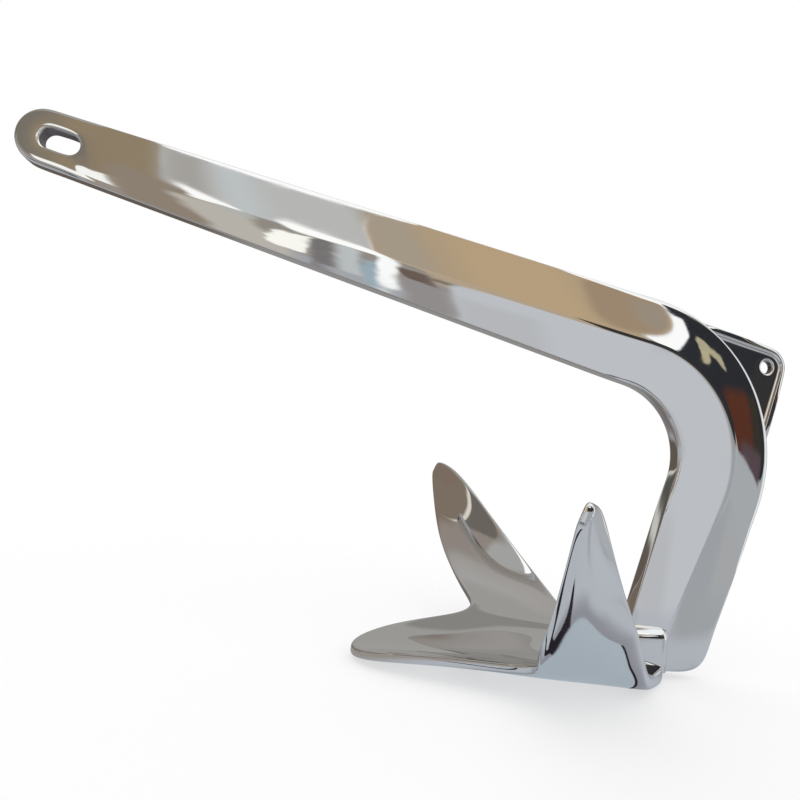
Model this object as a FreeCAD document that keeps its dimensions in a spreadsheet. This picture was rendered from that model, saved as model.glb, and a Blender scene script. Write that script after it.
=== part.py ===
"""Claw anchor: one mirror-polished stainless casting of a bent shank on a three-claw fluke.

Frame while modelling: X runs from the shackle eye (negative) to the bend (positive), Y = 0 is the
plane of symmetry, Z = 0 is the underside of the fluke. Millimetres.
"""
import FreeCAD, Part
import math
import os
import Sketcher

V = FreeCAD.Vector
DOCUMENT_NAME = "claw_anchor"
NODE = "anchor"
TOLERANCE = 0.01                # nearness at which two places count as one

# Driving dimensions, millimetres and degrees
SIZES = {
    # shank and leg, seen from the side
    "eye_reach": 464.5,         # eye centre to the heel, along X
    "eye_height": 330.6,
    "eye_radius": 19.0,
    "bend_reach": 40.0,         # centre of the outer bend, towards the eye from the heel
    "bend_height": 164.3,
    "outer_bend": 116.4,
    "inner_bend": 54.0,
    "inner_shift": 11.0,        # centre of the inner bend, towards the eye from the outer bend's
    "inner_drop": 3.8,          # and below it
    "leg_lean": 16.4,           # outer edge of the leg from the vertical
    "throat_lean": 13.5,        # inner edge of the leg from the vertical
    "foot_clearance": 7.8,      # foot above the surface that the fluke stands on
    "foot_radius": 15.0,
    # section of the shank: two rims joined by two facets that meet at a ridge
    "rim_width": 13.5,
    "eye_width": 14.5,
    "ridge_width": 22.0,
    "ridge_land": 1.5,          # half the width of the flat along the ridge
    "ridge_bend": 83.0,
    "ridge_shift": 3.0,         # centre of the ridge's bend, away from the eye from the outer bend's
    "ridge_drop": 1.3,          # and below it
    "ridge_pass": 7.8,          # how far under the eye's centre the line of the ridge would pass
    "ridge_lean": 16.2,
    "ridge_foot": 18.0,
    "eye_land": 15.0,           # radius of the flat round the slot
    "eye_taper": 72.5,          # from the eye's centre to the start of the ridge
    "rim_round": 4.0,
    # shackle slot
    "slot_length": 26.0,
    "slot_width": 13.4,
    "slot_shift": 10.3,         # slot centre from the eye centre, along the shank
    "slot_slope": 10.9,
    "slot_chamfer": 1.5,
    # trip-line ear on the outside of the bend
    "ear_clearance": 17.9,      # centre of the ear's hole and corner, outside the outer bend
    "ear_turn": 34.1,           # its direction from the centre of the outer bend, above level
    "ear_radius": 16.2,
    "ear_width": 10.0,
    "ear_rim": 4.5,
    "ear_recess": 1.5,
    "ear_slope": 11.4,
    "ear_lean": 12.7,
    "ear_root": 37.0,           # buried end of the top edge, beyond the centre of the outer bend
    "ear_round": 2.5,
    "web_gap": 1.0,
    "ear_hole": 9.4,
    "ear_hole_round": 1.5,
    # boss that carries the foot of the leg
    "boss_width": 32.0,
    "boss_top": 39.5,
    "boss_rear": 5.0,
    "boss_front": 58.0,
    "boss_shoulder": 36.0,
    "boss_round": 5.0,
    "boss_base": 8.0,
    "boss_toe": 14.0,
    # fluke
    "claw_span": 357.0,         # from tip to tip of the side claws
    "claw_reach": 227.5,        # tip of the centre claw from the heel
    "claw_rise": 137.0,         # rear corner of a side claw's tip above the surface that it stands on
    "claw_rim": 7.0,            # thickness at the tip of the centre claw
}

# Fluke stations, from the plane of symmetry to the claw tip: half width; front edge x and z;
# rear edge x and z; thickness at the front and rear rims; extra thickness between them; hollow.
# They are drawn for one size of fluke and stretched to the claw sizes above.
STATIONS = [
    (0.0, -227.5, 6.5, 3.0, 7.0, 7.0, 13.0, -15.0, 0.0),
    (20.0, -219.0, 9.0, -0.5, 8.0, 7.0, 13.0, -15.5, 0.0),
    (36.0, -193.5, 14.5, -16.5, 9.0, 6.5, 12.0, -15.0, 0.5),
    (49.0, -160.0, 18.0, -27.0, 11.5, 6.5, 11.0, -12.0, 1.0),
    (61.0, -134.0, 20.0, -36.0, 17.5, 6.5, 10.5, -6.5, 2.0),
    (71.0, -122.0, 23.0, -44.0, 27.0, 7.0, 10.0, 3.5, 3.0),
    (82.0, -120.0, 27.5, -52.0, 38.0, 7.0, 9.0, 11.0, 4.5),
    (97.0, -126.0, 35.5, -64.0, 53.5, 6.5, 8.0, 16.0, 6.0),
    (119.0, -133.0, 49.5, -88.5, 84.5, 6.0, 7.5, 16.5, 7.0),
    (146.0, -138.5, 71.0, -114.5, 118.5, 5.0, 7.0, 15.0, 6.0),
    (166.0, -141.5, 101.0, -129.0, 134.0, 5.0, 6.5, 10.0, 3.0),
    (177.0, -143.0, 121.5, -138.0, 137.0, 4.5, 6.0, 8.0, 1.0),
    (178.5, -142.5, 127.0, -138.0, 133.5, 4.0, 5.0, 7.5, 0.0),
]
STATION_FIELDS = ("side", "front_x", "front_z", "rear_x", "rear_z",
                  "front_rim", "rear_rim", "spine", "hollow")

# Centres in the side view: sums of sizes for the reach from the heel towards the eye and the height
EYE = ("eye_reach", "eye_height")
OUTER_BEND = ("bend_reach", "bend_height")
INNER_BEND = ("bend_reach + inner_shift", "bend_height - inner_drop")
RIDGE_BEND = ("bend_reach - ridge_shift", "bend_height - ridge_drop")
RIDGE_START = "eye_reach - eye_taper"
# Control points of a section: share of a rim's length from its edge, and share of the thickness
# there; then shares of the way from rim to rim
RIM_POLES = ((0.0, 0.0), (0.05, 0.8), (0.6, 1.0))
INNER_POLES = (0.2, 0.5, 0.8)
LONGEST_RIM = 0.42              # of the section's chord
THICKEST = 0.7                  # of the section's chord


def make_sheet(doc):
    """Fill the spreadsheet with one aliased cell per driving dimension."""
    sheet = doc.addObject("Spreadsheet::Sheet", "Sizes")
    rows = dict(SIZES)
    for index, station in enumerate(STATIONS):
        for field, value in zip(STATION_FIELDS, station):
            rows["station_%s_%d_mm" % (field, index)] = value
    for row, (alias, value) in enumerate(rows.items(), start=1):
        sheet.set("A%d" % row, alias)
        sheet.set("B%d" % row, repr(value))
        sheet.setAlias("B%d" % row, alias)
    doc.recompute()
    return sheet


def origin_plane(body, role):
    """Return one of the body's own origin planes."""
    return next(f for f in body.Origin.OriginFeatures if f.Role == role)


def side_sketch(body, name, offset="0", tilt="0"):
    """Add a sketch seen from the near side: its x is X, its y is Z, offset towards -Y."""
    sketch = body.newObject("Sketcher::SketchObject", name)
    sketch.AttachmentSupport = [(origin_plane(body, "XZ_Plane"), "")]
    sketch.MapMode = "FlatFace"
    sketch.AttachmentOffset = FreeCAD.Placement(V(0, 0, 0), FreeCAD.Rotation(V(0, 1, 0), 1))
    sketch.setExpression("AttachmentOffset.Base.z", offset)
    sketch.setExpression("AttachmentOffset.Rotation.Angle", tilt)
    return sketch


def ray(angle):
    """Unit direction in a side sketch, its angle in degrees."""
    return V(math.cos(math.radians(angle)), math.sin(math.radians(angle)), 0)


def touching_turn(first, first_radius, second, second_radius):
    """Direction, in degrees, from two centres to the straight line that touches both circles."""
    apart = second - first
    return math.degrees(
        math.atan2(apart.y, apart.x) - math.acos((first_radius - second_radius) / apart.Length))


def at_height(centre, radius, turn, height):
    """Point at this height on the line that touches a circle at this turn."""
    normal = ray(turn)
    return V((centre.dot(normal) + radius - normal.y * height) / normal.x, height, 0)


def at_reach(centre, radius, turn, reach):
    """Point at this reach on the line that touches a circle at this turn."""
    normal = ray(turn)
    return V(-reach, (centre.dot(normal) + radius + normal.x * reach) / normal.y, 0)


def meet_circle(start, way, centre, radius):
    """Point where a line from outside a circle, run along a unit direction, first meets it."""
    back = (start - centre).dot(way)
    return start + way * (-back - math.sqrt(back ** 2 - (start - centre).Length ** 2 + radius ** 2))


def add_line(sketch, start, end):
    return sketch.addGeometry(Part.LineSegment(start, end), False)


def add_arc(sketch, centre, radius, start, end):
    """Add an arc that runs counter-clockwise between two angles in degrees."""
    circle = Part.Circle(centre, V(0, 0, 1), radius)
    return sketch.addGeometry(
        Part.ArcOfCircle(circle, math.radians(start), math.radians(end)), False)


def total(sizes):
    """Value of a sum of named sizes, such as "eye_radius - rim_round"."""
    value, sign = 0.0, 1
    for word in sizes.split():
        if word in "+-":
            sign = 1 if word == "+" else -1
        else:
            value += sign * SIZES[word]
    return value


def tie(sketch, kind, *where, value, formula):
    """Add a dimension that a formula on the sheet keeps."""
    index = sketch.addConstraint(Sketcher.Constraint(kind, *where, value))
    sketch.setExpression("Constraints[%d]" % index, formula)


def bind(sketch, kind, *where, sizes):
    """Add a dimension that is a sum of named sizes."""
    formula = " ".join(word if word in "+-" else "Sizes." + word for word in sizes.split())
    tie(sketch, kind, *where, value=total(sizes), formula=formula)


def lean(sketch, line, size):
    """Lean a line that runs upwards from the vertical towards the bend."""
    tie(sketch, "Angle", line, value=math.radians(90 - SIZES[size]),
        formula="90 deg - Sizes.%s * 1 deg" % size)


def slope(sketch, line, size):
    """Slope a line that runs up and back towards the eye."""
    tie(sketch, "Angle", line, value=math.radians(180 - SIZES[size]),
        formula="180 deg - Sizes.%s * 1 deg" % size)


def join(sketch, first, first_end, second, second_end, smooth=True):
    """Join two ends, tangent or as a corner."""
    kind = "Tangent" if smooth else "Coincident"
    sketch.addConstraint(Sketcher.Constraint(kind, first, first_end, second, second_end))


def place_centre(sketch, arc, place):
    """Fix an arc's centre: its reach from the heel towards the eye, and its height."""
    reach, height = place
    bind(sketch, "DistanceX", arc, 3, -1, 1, sizes=reach)
    bind(sketch, "DistanceY", -1, 1, arc, 3, sizes=height)


def centre_of(place):
    """An arc's centre in a side sketch, from the sums that name its reach and its height."""
    reach, height = place
    return V(-total(reach), total(height), 0)


def draw_outline(sketch, inset=""):
    """Outer edge of the shank, bend and leg, from the round eye to the foot, or a line inside it."""
    wider, tighter = (" + " + inset, " - " + inset) if inset else ("", "")
    eye_at, outer_at, inner_at = centre_of(EYE), centre_of(OUTER_BEND), centre_of(INNER_BEND)
    eye_radius, foot_radius = total("eye_radius" + tighter), total("foot_radius" + tighter)
    outer_radius, inner_radius = total("outer_bend" + tighter), total("inner_bend" + wider)
    top = touching_turn(outer_at, outer_radius, eye_at, eye_radius)
    bottom = touching_turn(inner_at, inner_radius, eye_at, -eye_radius)
    leg_turn, throat_turn = -SIZES["leg_lean"], -SIZES["throat_lean"]
    toe_at = at_height(
        outer_at, outer_radius - foot_radius, leg_turn, total("foot_clearance + foot_radius"))
    heel = at_height(inner_at, inner_radius, throat_turn, total("foot_clearance" + wider))
    start = total(RIDGE_START)
    top_step = at_reach(outer_at, outer_radius, top, start)
    under_step = at_reach(inner_at, inner_radius, bottom, start)

    eye = add_arc(sketch, eye_at, eye_radius, top, bottom + 180)
    top_front = add_line(sketch, eye_at + ray(top) * eye_radius, top_step)
    top_rear = add_line(sketch, top_step, outer_at + ray(top) * outer_radius)
    outer = add_arc(sketch, outer_at, outer_radius, leg_turn, top)
    leg = add_line(
        sketch, toe_at + ray(leg_turn) * foot_radius, outer_at + ray(leg_turn) * outer_radius)
    toe = add_arc(sketch, toe_at, foot_radius, -90, leg_turn)
    sole = add_line(sketch, V(toe_at.x, heel.y, 0), heel)
    throat = add_line(sketch, heel, inner_at + ray(throat_turn) * inner_radius)
    inner = add_arc(sketch, inner_at, inner_radius, throat_turn, bottom)
    under_rear = add_line(sketch, inner_at + ray(bottom) * inner_radius, under_step)
    under_front = add_line(sketch, under_step, eye_at - ray(bottom) * eye_radius)

    join(sketch, top_front, 1, eye, 1)
    join(sketch, top_front, 2, top_rear, 1)
    join(sketch, top_rear, 2, outer, 2)
    join(sketch, leg, 2, outer, 1)
    join(sketch, leg, 1, toe, 2)
    join(sketch, sole, 1, toe, 1)
    join(sketch, sole, 2, throat, 1, smooth=False)
    join(sketch, throat, 2, inner, 1)
    join(sketch, under_rear, 1, inner, 2)
    join(sketch, under_rear, 2, under_front, 1)
    join(sketch, under_front, 2, eye, 2)

    place_centre(sketch, eye, EYE)
    place_centre(sketch, outer, OUTER_BEND)
    place_centre(sketch, inner, INNER_BEND)
    bind(sketch, "Radius", eye, sizes="eye_radius" + tighter)
    bind(sketch, "Radius", outer, sizes="outer_bend" + tighter)
    bind(sketch, "Radius", inner, sizes="inner_bend" + wider)
    bind(sketch, "Radius", toe, sizes="foot_radius" + tighter)
    lean(sketch, leg, "leg_lean")
    lean(sketch, throat, "throat_lean")
    sketch.addConstraint(Sketcher.Constraint("Horizontal", sole))
    bind(sketch, "DistanceY", -1, 1, sole, 2, sizes="foot_clearance" + wider)
    bind(sketch, "DistanceX", top_front, 2, -1, 1, sizes=RIDGE_START)
    bind(sketch, "DistanceX", under_front, 1, -1, 1, sizes=RIDGE_START)


def draw_ridge(sketch):
    """Narrow land along the ridge of a side face, widening to a flat disc round the slot."""
    eye_at, bend_at = centre_of(EYE), centre_of(RIDGE_BEND)
    eye_radius, toe_radius = SIZES["eye_land"], SIZES["ridge_land"]
    outer_radius, inner_radius = total("ridge_bend + ridge_land"), total("ridge_bend - ridge_land")
    top = touching_turn(bend_at, SIZES["ridge_bend"], eye_at, -SIZES["ridge_pass"])
    leg_turn = -SIZES["ridge_lean"]
    upper_step = at_reach(bend_at, outer_radius, top, total(RIDGE_START))
    lower_step = at_reach(bend_at, inner_radius, top, total(RIDGE_START))
    upper = touching_turn(upper_step, 0, eye_at, eye_radius)
    lower = touching_turn(lower_step, 0, eye_at, -eye_radius)
    toe_at = at_height(
        bend_at, outer_radius - toe_radius, leg_turn, total("ridge_foot + ridge_land"))
    heel = at_height(bend_at, inner_radius, leg_turn, SIZES["ridge_foot"])

    eye = add_arc(sketch, eye_at, eye_radius, upper, lower + 180)
    upper_front = add_line(sketch, eye_at + ray(upper) * eye_radius, upper_step)
    upper_rear = add_line(sketch, bend_at + ray(top) * outer_radius, upper_step)
    outer = add_arc(sketch, bend_at, outer_radius, leg_turn, top)
    leg = add_line(
        sketch, toe_at + ray(leg_turn) * toe_radius, bend_at + ray(leg_turn) * outer_radius)
    toe = add_arc(sketch, toe_at, toe_radius, -90, leg_turn)
    sole = add_line(sketch, V(toe_at.x, heel.y, 0), heel)
    throat = add_line(sketch, heel, bend_at + ray(leg_turn) * inner_radius)
    inner = add_arc(sketch, bend_at, inner_radius, leg_turn, top)
    lower_rear = add_line(sketch, bend_at + ray(top) * inner_radius, lower_step)
    lower_front = add_line(sketch, lower_step, eye_at - ray(lower) * eye_radius)

    join(sketch, upper_front, 1, eye, 1)
    join(sketch, upper_front, 2, upper_rear, 2, smooth=False)
    join(sketch, upper_rear, 1, outer, 2)
    join(sketch, leg, 2, outer, 1)
    join(sketch, leg, 1, toe, 2)
    join(sketch, sole, 1, toe, 1)
    join(sketch, sole, 2, throat, 1, smooth=False)
    join(sketch, throat, 2, inner, 1)
    join(sketch, lower_rear, 1, inner, 2)
    join(sketch, lower_rear, 2, lower_front, 1, smooth=False)
    join(sketch, lower_front, 2, eye, 2)

    place_centre(sketch, eye, EYE)
    place_centre(sketch, outer, RIDGE_BEND)
    place_centre(sketch, inner, RIDGE_BEND)
    bind(sketch, "Radius", eye, sizes="eye_land")
    bind(sketch, "Radius", outer, sizes="ridge_bend + ridge_land")
    bind(sketch, "Radius", inner, sizes="ridge_bend - ridge_land")
    bind(sketch, "Radius", toe, sizes="ridge_land")
    lean(sketch, leg, "ridge_lean")
    lean(sketch, throat, "ridge_lean")
    bind(sketch, "Distance", eye, 3, upper_rear, sizes="ridge_pass - ridge_land")
    bind(sketch, "Distance", eye, 3, lower_rear, sizes="ridge_pass + ridge_land")
    sketch.addConstraint(Sketcher.Constraint("Horizontal", sole))
    bind(sketch, "DistanceY", -1, 1, sole, 2, sizes="ridge_foot")
    bind(sketch, "DistanceX", upper_front, 2, -1, 1, sizes=RIDGE_START)
    bind(sketch, "DistanceX", lower_front, 1, -1, 1, sizes=RIDGE_START)


def make_shank(doc):
    """Shank, bend and leg: a rounded plate with a ridged facet pair raised on each side."""
    body = doc.addObject("PartDesign::Body", "shank")
    outline = side_sketch(body, "rim_outline")
    draw_outline(outline)
    plate = pad_both_ways(doc, body, "plate", outline, "rim_width")
    add_fillet(doc, body, "rim_rounding", plate, side_edges(plate, "rim_width"), "Sizes.rim_round")

    tilt = "atan((Sizes.eye_width - Sizes.ridge_width) / 2 / Sizes.eye_reach)"
    for side, sign in (("near", "1"), ("far", "-1")):
        edge = side_sketch(body, "facet_edge_" + side, sign + " * Sizes.rim_width / 2")
        draw_outline(edge, "rim_round")
        ridge = side_sketch(
            body, "ridge_" + side, sign + " * Sizes.ridge_width / 2", sign + " * " + tilt)
        draw_ridge(ridge)
        facets = body.newObject("PartDesign::AdditiveLoft", "facets_" + side)
        facets.Profile = edge
        facets.Sections = [ridge]
        facets.Ruled = True
        doc.recompute()

    cut_slot(doc, body)
    add_ear(doc, body)
    return body


def side_edges(feature, width):
    """Edges of a feature that lie in its two side faces, this width apart."""
    half = SIZES[width] / 2
    return [edge for edge in feature.Shape.Edges
            if all(abs(abs(v.Y) - half) < TOLERANCE for v in edge.Vertexes)
            and edge.Vertexes[0].Y * edge.Vertexes[-1].Y > 0]


def edge_names(feature, chosen):
    """Names that a feature's shape gives to the chosen edges."""
    return ["Edge%d" % number for number, edge in enumerate(feature.Shape.Edges, start=1)
            if any(edge.isSame(other) for other in chosen)]


def add_fillet(doc, body, name, base, chosen, radius):
    """Round the chosen edges of the body's last feature."""
    fillet = body.newObject("PartDesign::Fillet", name)
    fillet.Base = (base, edge_names(base, chosen))
    fillet.setExpression("Radius", radius)
    doc.recompute()
    return fillet


def cut_slot(doc, body):
    """Cut the shackle slot through the eye and break its edges."""
    slot = side_sketch(body, "slot_outline")
    eye_at = centre_of(EYE)
    back = ray(-SIZES["slot_slope"])
    radius = SIZES["slot_width"] / 2
    reach = (SIZES["slot_length"] - SIZES["slot_width"]) / 2
    centres = [eye_at + back * (SIZES["slot_shift"] + way * reach) for way in (-1, 1)]
    up = ray(90 - SIZES["slot_slope"]) * radius
    turn = 90 - SIZES["slot_slope"]
    left = add_arc(slot, centres[0], radius, turn, turn + 180)
    right = add_arc(slot, centres[1], radius, turn - 180, turn)
    top = add_line(slot, centres[0] + up, centres[1] + up)
    bottom = add_line(slot, centres[0] - up, centres[1] - up)
    join(slot, top, 1, left, 1)
    join(slot, top, 2, right, 2)
    join(slot, bottom, 1, left, 2)
    join(slot, bottom, 2, right, 1)
    bind(slot, "Diameter", left, sizes="slot_width")
    for arc, centre, way in ((left, centres[0], "-"), (right, centres[1], "+")):
        along = "(Sizes.slot_shift %s (Sizes.slot_length - Sizes.slot_width) / 2)" % way
        tie(slot, "DistanceX", arc, 3, -1, 1, value=-centre.x,
            formula="Sizes.eye_reach - %s * cos(Sizes.slot_slope * 1 deg)" % along)
        tie(slot, "DistanceY", -1, 1, arc, 3, value=centre.y,
            formula="Sizes.eye_height - %s * sin(Sizes.slot_slope * 1 deg)" % along)
    cut = cut_through(doc, body, "shackle_slot", slot)

    middle = (centres[0] + centres[1]) / 2

    def in_slot(vertex):
        place = V(vertex.X, vertex.Z, 0) - middle
        past_end = max(abs(place.dot(back)) - reach, 0)
        return abs(math.hypot(past_end, place.dot(up) / radius) - radius) < TOLERANCE

    mouth = [edge for edge in cut.Shape.Edges if all(in_slot(v) for v in edge.Vertexes)
             and edge.Vertexes[0].Y * edge.Vertexes[-1].Y > 0]
    chamfer = body.newObject("PartDesign::Chamfer", "slot_mouth")
    chamfer.Base = (cut, edge_names(cut, mouth))
    chamfer.setExpression("Size", "Sizes.slot_chamfer")
    doc.recompute()


def cut_through(doc, body, name, sketch):
    """Cut a sketch right through the body, both ways from the plane of symmetry."""
    cut = body.newObject("PartDesign::Pocket", name)
    cut.Profile = sketch
    cut.Type = "Length"
    cut.SideType = "Symmetric"
    cut.setExpression("Length", "2 * Sizes.ridge_width")
    doc.recompute()
    return cut


def pad_both_ways(doc, body, name, sketch, width):
    """Thicken a side sketch evenly about the plane of symmetry."""
    pad = body.newObject("PartDesign::Pad", name)
    pad.Profile = sketch
    pad.Type = "Length"
    pad.SideType = "Symmetric"
    pad.setExpression("Length", "Sizes." + width)
    doc.recompute()
    return pad


def add_ear(doc, body):
    """Add the thin trip-line ear outside the bend, with a recessed web and a hole."""
    outline = side_sketch(body, "ear_outline")
    corner_at, radius = ear_centre(), SIZES["ear_radius"]
    upper, rear_turn = 90 - SIZES["ear_slope"], -SIZES["ear_lean"]
    top_root = at_reach(corner_at, radius, upper, total("bend_reach - ear_root"))
    rear_root = at_height(corner_at, radius, rear_turn, SIZES["bend_height"])
    corner = add_arc(outline, corner_at, radius, rear_turn, upper)
    top = add_line(outline, corner_at + ray(upper) * radius, top_root)
    rear = add_line(outline, rear_root, corner_at + ray(rear_turn) * radius)
    root = add_line(outline, top_root, rear_root)
    join(outline, top, 1, corner, 2)
    join(outline, rear, 2, corner, 1)
    join(outline, root, 1, top, 2, smooth=False)
    join(outline, root, 2, rear, 1, smooth=False)
    place_at_ear(outline, corner)
    bind(outline, "Radius", corner, sizes="ear_radius")
    slope(outline, top, "ear_slope")
    lean(outline, rear, "ear_lean")
    bind(outline, "DistanceX", top, 2, -1, 1, sizes="bend_reach - ear_root")
    bind(outline, "DistanceY", -1, 1, rear, 1, sizes="bend_height")
    ear = pad_both_ways(doc, body, "ear", outline, "ear_width")
    rim = [edge for edge in side_edges(ear, "ear_width") if is_outside_bend(edge)]
    add_fillet(doc, body, "ear_rounding", ear, rim, "Sizes.ear_round")

    for side, sign in (("near", "1"), ("far", "-1")):
        web = side_sketch(body, "web_" + side, sign + " * Sizes.ear_width / 2")
        draw_web(web)
        recess = body.newObject("PartDesign::Pocket", "web_recess_" + side)
        recess.Profile = web
        recess.Type = "Length"
        recess.Reversed = side == "far"
        recess.setExpression("Length", "Sizes.ear_recess")
        doc.recompute()

    hole = side_sketch(body, "ear_hole_outline")
    hole_radius = SIZES["ear_hole"] / 2
    circle = hole.addGeometry(Part.Circle(corner_at, V(0, 0, 1), hole_radius), False)
    place_at_ear(hole, circle)
    bind(hole, "Diameter", circle, sizes="ear_hole")
    cut = cut_through(doc, body, "trip_hole", hole)
    mouth = [edge for edge in cut.Shape.Edges if edge.Curve.TypeId == "Part::GeomCircle"
             and abs(edge.Curve.Radius - hole_radius) < TOLERANCE and len(edge.Vertexes) == 1]
    add_fillet(doc, body, "trip_hole_mouth", cut, mouth, "Sizes.ear_hole_round")


def ear_centre():
    """Centre of the ear's corner and hole in a side sketch."""
    return centre_of(OUTER_BEND) + ray(SIZES["ear_turn"]) * total("outer_bend + ear_clearance")


def place_at_ear(sketch, arc):
    """Fix the centre of the ear's corner or hole, outside the outer bend."""
    centre, reach = ear_centre(), "(Sizes.outer_bend + Sizes.ear_clearance)"
    tie(sketch, "DistanceX", -1, 1, arc, 3, value=centre.x,
        formula=reach + " * cos(Sizes.ear_turn * 1 deg) - Sizes.bend_reach")
    tie(sketch, "DistanceY", -1, 1, arc, 3, value=centre.y,
        formula=reach + " * sin(Sizes.ear_turn * 1 deg) + Sizes.bend_height")


def is_outside_bend(edge):
    """Whether an edge lies clear outside the outer bend of the shank."""
    middle = edge.valueAt((edge.FirstParameter + edge.LastParameter) / 2)
    return (V(middle.x, middle.z, 0) - centre_of(OUTER_BEND)).Length > SIZES["outer_bend"]


def draw_web(web):
    """Sunk part of the ear: parallel to its edges and following the bend."""
    corner_at, radius = ear_centre(), total("ear_radius - ear_rim")
    bend_at, reach = centre_of(OUTER_BEND), total("outer_bend + web_gap")
    upper, rear_turn = 90 - SIZES["ear_slope"], -SIZES["ear_lean"]
    top_start = corner_at + ray(upper) * radius
    rear_start = corner_at + ray(rear_turn) * radius
    top_end = meet_circle(top_start, ray(upper + 90), bend_at, reach)
    rear_end = meet_circle(rear_start, ray(rear_turn - 90), bend_at, reach)
    turns = [math.degrees(math.atan2(end.y - bend_at.y, end.x - bend_at.x))
             for end in (rear_end, top_end)]
    corner = add_arc(web, corner_at, radius, rear_turn, upper)
    top = add_line(web, top_start, top_end)
    rear = add_line(web, rear_end, rear_start)
    inner = add_arc(web, bend_at, reach, *turns)
    join(web, top, 1, corner, 2)
    join(web, rear, 2, corner, 1)
    join(web, inner, 2, top, 2, smooth=False)
    join(web, inner, 1, rear, 1, smooth=False)
    place_at_ear(web, corner)
    bind(web, "Radius", corner, sizes="ear_radius - ear_rim")
    slope(web, top, "ear_slope")
    lean(web, rear, "ear_lean")
    place_centre(web, inner, OUTER_BEND)
    bind(web, "Radius", inner, sizes="outer_bend + web_gap")


def make_boss(doc):
    """Boss that carries the foot of the leg on the fluke, round along its shoulders."""
    body = doc.addObject("PartDesign::Body", "boss")
    outline = side_sketch(body, "boss_outline")
    front, shoulder, back = -SIZES["boss_front"], -SIZES["boss_shoulder"], SIZES["boss_rear"]
    floor, roof, toe = SIZES["boss_base"], SIZES["boss_top"], SIZES["boss_toe"]
    corners = [V(front, floor, 0), V(back, floor, 0), V(back, roof, 0), V(shoulder, roof, 0),
               V(front, toe, 0)]
    lines = [add_line(outline, start, end) for start, end in zip(corners, corners[1:] + corners[:1])]
    for line, following in zip(lines, lines[1:] + lines[:1]):
        join(outline, line, 2, following, 1, smooth=False)
    base, rear, top, ramp, nose = lines
    for line, way in ((base, "Horizontal"), (rear, "Vertical"), (top, "Horizontal"),
                      (nose, "Vertical")):
        outline.addConstraint(Sketcher.Constraint(way, line))
    bind(outline, "DistanceY", -1, 1, base, 1, sizes="boss_base")
    bind(outline, "DistanceY", -1, 1, top, 1, sizes="boss_top")
    bind(outline, "DistanceX", -1, 1, rear, 1, sizes="boss_rear")
    bind(outline, "DistanceX", nose, 1, -1, 1, sizes="boss_front")
    bind(outline, "DistanceX", ramp, 1, -1, 1, sizes="boss_shoulder")
    bind(outline, "DistanceY", -1, 1, nose, 1, sizes="boss_toe")
    block = pad_both_ways(doc, body, "boss_block", outline, "boss_width")
    shoulders = [edge for edge in side_edges(block, "boss_width")
                 if edge.CenterOfMass.z > SIZES["boss_base"] + TOLERANCE]
    add_fillet(doc, body, "boss_rounding", block, shoulders, "Sizes.boss_round")
    return body


def station_values(sheet):
    """Read the fluke stations back from the sheet and stretch them to the claw sizes."""
    drawn = [
        {field: float(sheet.get("station_%s_%d_mm" % (field, index))) for field in STATION_FIELDS}
        for index in range(len(STATIONS))]
    root, tip = drawn[0], drawn[-1]
    across = float(sheet.get("claw_span")) / (2 * tip["side"])
    along = float(sheet.get("claw_reach")) / -root["front_x"]
    upwards = float(sheet.get("claw_rise")) / max(station["rear_z"] for station in drawn)
    thicker = float(sheet.get("claw_rim")) / root["front_rim"]
    stretch = dict(zip(
        STATION_FIELDS, (across, along, upwards, along, upwards, thicker, thicker, thicker, thicker)))
    return [{field: station[field] * stretch[field] for field in STATION_FIELDS}
            for station in drawn]


def blade_section(station, sweep, sign):
    """Section of the fluke plate at one distance from the plane of symmetry, as a ring of points.

    The section runs from the front edge to the rear edge, is hollowed towards the palm and ends in
    half-elliptic rims. Where an edge sweeps along the fluke its rim is stretched to stay round.
    """
    front = V(station["front_x"], 0, station["front_z"])
    rear = V(station["rear_x"], 0, station["rear_z"])
    chord = (rear - front).Length
    along = (rear - front).normalize()
    palm = V(-along.z, 0, along.x)

    def half_thickness(share):
        full = mix(station["front_rim"], station["rear_rim"], share)
        full += station["spine"] * share * (1 - share)
        return min(full, chord * THICKEST) / 2

    def rim_length(thickness, sweep_of_edge):
        return min(LONGEST_RIM * chord, thickness / 2 * math.hypot(1, sweep_of_edge))

    front_rim = rim_length(station["front_rim"], sweep[0])
    rear_rim = rim_length(station["rear_rim"], sweep[1])
    flat = chord - front_rim - rear_rim
    places = [(front_rim * step, fullness) for step, fullness in RIM_POLES]
    places += [(front_rim + flat * share, 1.0) for share in INNER_POLES]
    places += [(chord - rear_rim * step, fullness) for step, fullness in reversed(RIM_POLES)]

    def surface(place, fullness, way):
        share = place / chord
        middle = front + along * place - palm * (station["hollow"] * 4 * share * (1 - share))
        return middle + palm * (way * fullness * half_thickness(share))

    palm_line = [surface(place, fullness, 1) for place, fullness in places]
    back_line = [surface(place, fullness, -1) for place, fullness in reversed(places)]
    return [V(p.x, sign * station["side"], p.z) for p in palm_line + back_line[1:]]


def mix(first, second, share):
    return first + (second - first) * share


def edge_sweeps(stations):
    """How far each edge runs along X for each millimetre outwards, station by station."""
    sweeps = []
    for index in range(len(stations)):
        inner = stations[max(index - 1, 0)]
        outer = stations[min(index + 1, len(stations) - 1)]
        step = outer["side"] - inner["side"]
        sweeps.append([(outer[key] - inner[key]) / step for key in ("front_x", "rear_x")])
    sweeps[0] = [0.0, 0.0]
    return sweeps


def clamped_knots(poles):
    """Multiplicities and even knots of a cubic that starts and ends on its end poles."""
    return [4] + [1] * (poles - 4) + [4], [float(k) for k in range(poles - 2)]


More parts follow.
